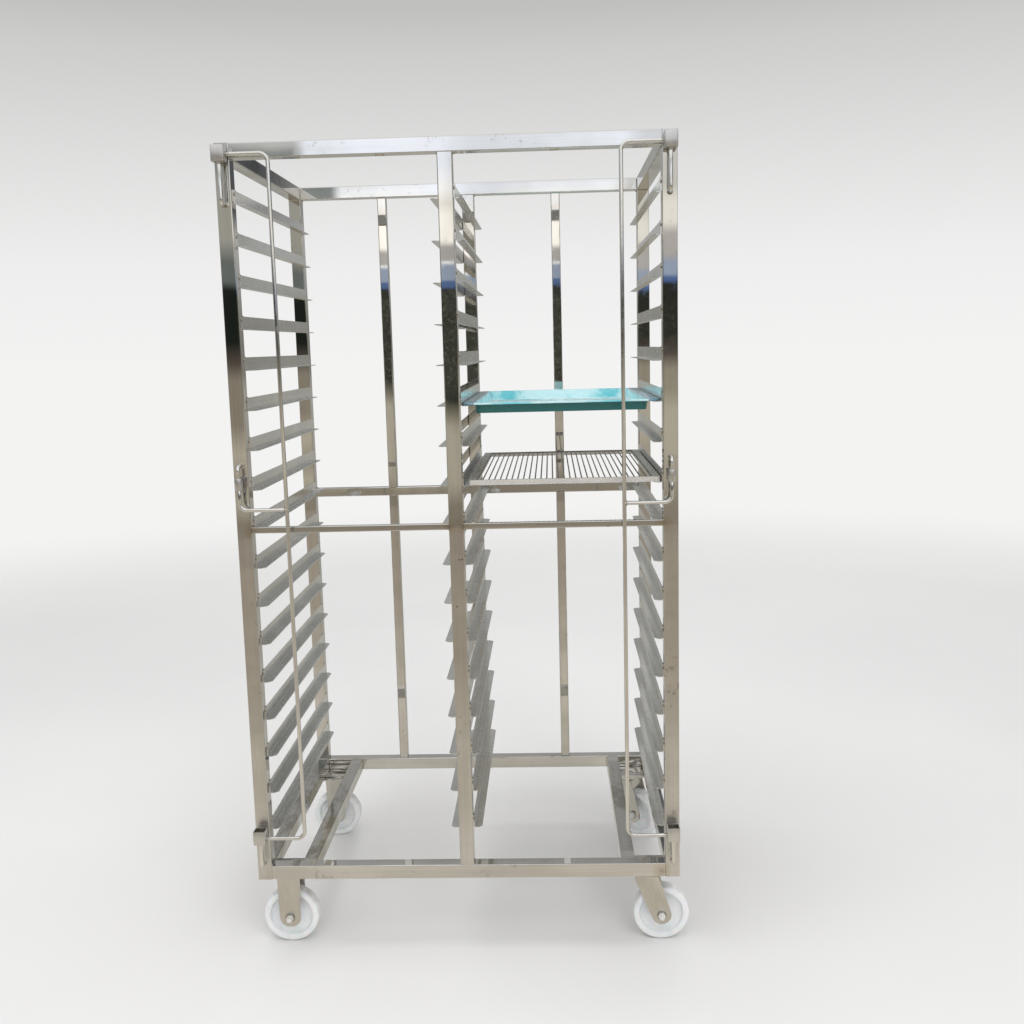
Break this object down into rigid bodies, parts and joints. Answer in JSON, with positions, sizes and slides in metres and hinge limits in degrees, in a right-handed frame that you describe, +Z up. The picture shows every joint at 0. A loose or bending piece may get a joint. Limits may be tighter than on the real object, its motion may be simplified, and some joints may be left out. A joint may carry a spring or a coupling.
{
  "type": "steaming tray trolley",
  "caption": "Tall open stainless trolley with side-by-side columns of tray runners, hinged retaining bars across the front, a sheet pan, a wire tray, and rigid and swivel casters.",
  "frame": {"origin": "on the floor, under the middle of the whole outline, casters and front bars included", "axes": "+X to the right and +Y to the back as the loader sees it from the front, +Z up; the swivel casters are at +X"},
  "size_m": [0.93, 0.6876, 1.6905],
  "materials": {
    "polished_steel": "bright polished stainless",
    "satin_steel": "satin stainless sheet",
    "rod_steel": "bright drawn rod",
    "sleeve_steel": "dull ground steel",
    "caster_steel": "pressed steel, lightly polished",
    "zinc_plate": "bright plated",
    "nylon": "cast white nylon, slightly waxy",
    "pan_sheet": "formed sheet with a blue-green coat",
    "wire_steel": "satin stainless wire and strip"
  },
  "bodies": {
    "frame": {"left_front_post": "polished_steel", "left_back_post": "polished_steel", "right_front_post": "polished_steel", "right_back_post": "polished_steel", "centre_front_post": "polished_steel", "centre_back_post": "polished_steel", "post_end_plates": "polished_steel", "front_top_rail": "polished_steel", "front_bottom_rail": "polished_steel", "back_top_rail": "polished_steel", "back_bottom_rail": "polished_steel", "left_top_rail": "polished_steel", "left_bottom_rail": "polished_steel", "left_inner_rail": "polished_steel", "right_top_rail": "polished_steel", "right_bottom_rail": "polished_steel", "right_inner_rail": "polished_steel", "front_mid_rails": "polished_steel", "back_mid_rails": "polished_steel", "left_stop_bars": "polished_steel", "right_stop_bars": "polished_steel", "left_outer_runners": "satin_steel", "left_inner_runners": "satin_steel", "right_inner_runners": "satin_steel", "right_outer_runners": "satin_steel", "left_front_bracket": "caster_steel", "left_front_axle": "zinc_plate", "right_front_swivel_plate": "caster_steel", "right_front_kingpin": "zinc_plate", "left_back_bracket": "caster_steel", "left_back_axle": "zinc_plate", "right_back_swivel_plate": "caster_steel", "right_back_kingpin": "zinc_plate", "caster_bolts": "zinc_plate", "caster_nuts": "zinc_plate", "left_gate_pins": "rod_steel", "right_gate_pins": "rod_steel"},
    "left_front_wheel": {"left_front_wheel": "nylon"},
    "left_back_wheel": {"left_back_wheel": "nylon"},
    "right_front_fork": {"right_front_race": "zinc_plate", "right_front_fork": "caster_steel", "right_front_axle": "zinc_plate"},
    "right_front_wheel": {"right_front_wheel": "nylon"},
    "right_back_fork": {"right_back_race": "zinc_plate", "right_back_fork": "caster_steel", "right_back_axle": "zinc_plate"},
    "right_back_wheel": {"right_back_wheel": "nylon"},
    "left_gate": {"left_gate_bar": "rod_steel", "left_gate_mid_arm": "rod_steel", "left_gate_top_sleeve": "sleeve_steel", "left_gate_bottom_sleeve": "sleeve_steel", "left_gate_barrel": "sleeve_steel"},
    "right_gate": {"right_gate_bar": "rod_steel", "right_gate_mid_arm": "rod_steel", "right_gate_top_sleeve": "sleeve_steel", "right_gate_bottom_sleeve": "sleeve_steel", "right_gate_barrel": "sleeve_steel"},
    "sheet_pan": {"sheet_pan": "pan_sheet"},
    "wire_tray": {"wire_tray_frame": "wire_steel", "wire_tray_rods": "wire_steel"}
  },
  "joints": [
    {"name": "left_front_wheel_spin", "type": "hinge", "parent": "frame", "child": "left_front_wheel", "pos_m": [-0.405, -0.25225, 0.06], "axis": [0, 1, 0], "continuous": true},
    {"name": "left_back_wheel_spin", "type": "hinge", "parent": "frame", "child": "left_back_wheel", "pos_m": [-0.405, 0.28475, 0.06], "axis": [0, 1, 0], "continuous": true},
    {"name": "right_front_swivel", "type": "hinge", "parent": "frame", "child": "right_front_fork", "pos_m": [0.373, -0.25225, 0.1505], "axis": [0, 0, 1], "continuous": true},
    {"name": "right_front_wheel_spin", "type": "hinge", "parent": "right_front_fork", "child": "right_front_wheel", "pos_m": [0.405, -0.25225, 0.06], "axis": [0, 1, 0], "continuous": true},
    {"name": "right_back_swivel", "type": "hinge", "parent": "frame", "child": "right_back_fork", "pos_m": [0.373, 0.28475, 0.1505], "axis": [0, 0, 1], "continuous": true},
    {"name": "right_back_wheel_spin", "type": "hinge", "parent": "right_back_fork", "child": "right_back_wheel", "pos_m": [0.39751, 0.26418, 0.06], "axis": [0.6428, 0.766, 0], "continuous": true},
    {"name": "left_gate_swing", "type": "hinge", "parent": "frame", "child": "left_gate", "pos_m": [-0.445, -0.33075, 0.9695], "axis": [0, 0, -1], "range_deg": [0, 210]},
    {"name": "right_gate_swing", "type": "hinge", "parent": "frame", "child": "right_gate", "pos_m": [0.425, -0.33075, 0.9695], "axis": [0, 0, 1], "range_deg": [0, 210]},
    {"name": "sheet_pan_slide", "type": "slide", "parent": "frame", "child": "sheet_pan", "axis": [0, -1, 0], "range_m": [0, 0.04]},
    {"name": "wire_tray_slide", "type": "slide", "parent": "frame", "child": "wire_tray", "axis": [0, -1, 0], "range_m": [0, 0.04]}
  ]
}
